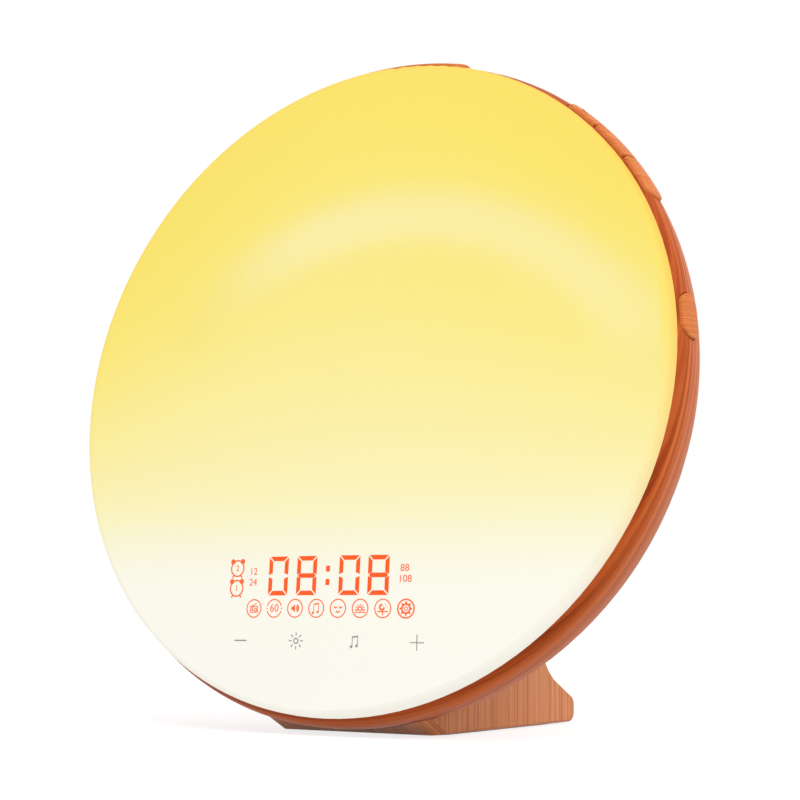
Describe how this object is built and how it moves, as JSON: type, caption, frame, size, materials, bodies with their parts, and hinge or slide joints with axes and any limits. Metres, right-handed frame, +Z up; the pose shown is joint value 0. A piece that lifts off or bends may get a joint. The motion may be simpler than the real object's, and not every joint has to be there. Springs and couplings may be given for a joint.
{
  "type": "sunrise alarm clock",
  "caption": "Round leaning sunrise alarm clock: a milky domed lamp face in a wood-grain bowl housing on a hollow foot, with a lit display and touch marks in the face and keys on the rim.",
  "frame": {"origin": "middle of the underside of the rubber sole, on the table", "axes": "+Z up, +X to the right of a person facing the clock, +Y towards the clock's back; the face looks along -Y and leans back by 8.5 degrees"},
  "size_m": [0.2067, 0.1147, 0.2074],
  "materials": {
    "wood_grain": "satin wood-grain film over moulded plastic, red-brown on the rim, paler on the foot",
    "key_wood": "satin wood-grain film, a little more orange than the rim",
    "base_plastic": "dark brown moulded plastic",
    "diffuser": "milky lamp face, lit: deep yellow at the top, near white at the bottom",
    "white_plastic": "white moulded plastic",
    "black_plastic": "black moulded plastic",
    "lit_orange": "lit orange display windows",
    "lit_yellow": "lit lamps",
    "white_board": "white lacquered circuit board",
    "green_board": "green lacquered circuit board",
    "foam": "dense grey foam",
    "felt": "thin black acoustic felt",
    "paper_cone": "pressed paper, dark grey",
    "copper": "wound copper wire",
    "magnet": "dull ferrite",
    "steel": "plain steel",
    "screw_steel": "zinc-plated screws",
    "rubber": "matt black non-slip sheet",
    "lead_cover": "red insulated wire"
  },
  "bodies": {
    "clock": {"rear_housing": "wood_grain", "foot_shell": "wood_grain", "foot_cover": "base_plastic", "diffuser": "diffuser", "reflector_tray": "white_plastic", "display_frame": "black_plastic", "segment_lenses": "lit_orange", "display_leds": "lit_orange", "light_leds": "lit_yellow", "light_board": "white_board", "display_board": "green_board", "main_board": "green_board", "snooze_key_board": "green_board", "strip_key_board": "green_board", "lamp_key_board": "green_board", "touch_pads": "foam", "board_chips": "black_plastic", "key_switches": "black_plastic", "dc_jack": "black_plastic", "usb_port": "steel", "coin_cell": "steel", "cell_contact": "steel", "speaker_frame": "steel", "speaker_cone": "paper_cone", "speaker_coil": "copper", "speaker_magnet": "magnet", "speaker_gasket": "foam", "speaker_felt": "felt", "foot_weight": "steel", "foot_sole": "rubber", "case_screws": "screw_steel", "foot_screws": "screw_steel", "main_board_screws": "screw_steel", "speaker_screws": "screw_steel", "light_board_screws": "screw_steel", "display_screws": "screw_steel", "foot_cover_screws": "screw_steel", "speaker_lead": "lead_cover", "light_lead": "lead_cover", "display_lead": "lead_cover", "strip_key_lead": "lead_cover", "lamp_key_lead": "lead_cover", "snooze_key_lead": "lead_cover"},
    "snooze_bar": {"snooze_bar": "key_wood", "snooze_plungers": "black_plastic"},
    "radio_key": {"radio_key": "key_wood", "radio_plunger": "black_plastic"},
    "alarm_one_key": {"alarm_one_key": "key_wood", "alarm_one_plunger": "black_plastic"},
    "alarm_two_key": {"alarm_two_key": "key_wood", "alarm_two_plunger": "black_plastic"},
    "lamp_key": {"lamp_key": "key_wood", "lamp_plunger": "black_plastic"},
    "battery_door": {"battery_door": "wood_grain"}
  },
  "joints": [
    {"name": "snooze_press", "type": "slide", "parent": "clock", "child": "snooze_bar", "axis": [0, -0.1478, -0.989], "range_m": [0, 0.0005], "stiffness_N_per_m": 900, "springref_m": -0.0015},
    {"name": "radio_press", "type": "slide", "parent": "clock", "child": "radio_key", "axis": [-0.7738, -0.0936, -0.6264], "range_m": [0, 0.0005], "stiffness_N_per_m": 600, "springref_m": -0.0015},
    {"name": "alarm_one_press", "type": "slide", "parent": "clock", "child": "alarm_one_key", "axis": [-0.7738, -0.0936, -0.6264], "range_m": [0, 0.0005], "stiffness_N_per_m": 600, "springref_m": -0.0015},
    {"name": "alarm_two_press", "type": "slide", "parent": "clock", "child": "alarm_two_key", "axis": [-0.7738, -0.0936, -0.6264], "range_m": [0, 0.0005], "stiffness_N_per_m": 600, "springref_m": -0.0015},
    {"name": "lamp_press", "type": "slide", "parent": "clock", "child": "lamp_key", "axis": [-0.9938, -0.0165, -0.1102], "range_m": [0, 0.0005], "stiffness_N_per_m": 600, "springref_m": -0.0015},
    {"name": "battery_door_turn", "type": "hinge", "parent": "clock", "child": "battery_door", "pos_m": [0.034, -0.00819, 0.09051], "axis": [0, -0.989, 0.1478], "range_deg": [0, 60]}
  ]
}
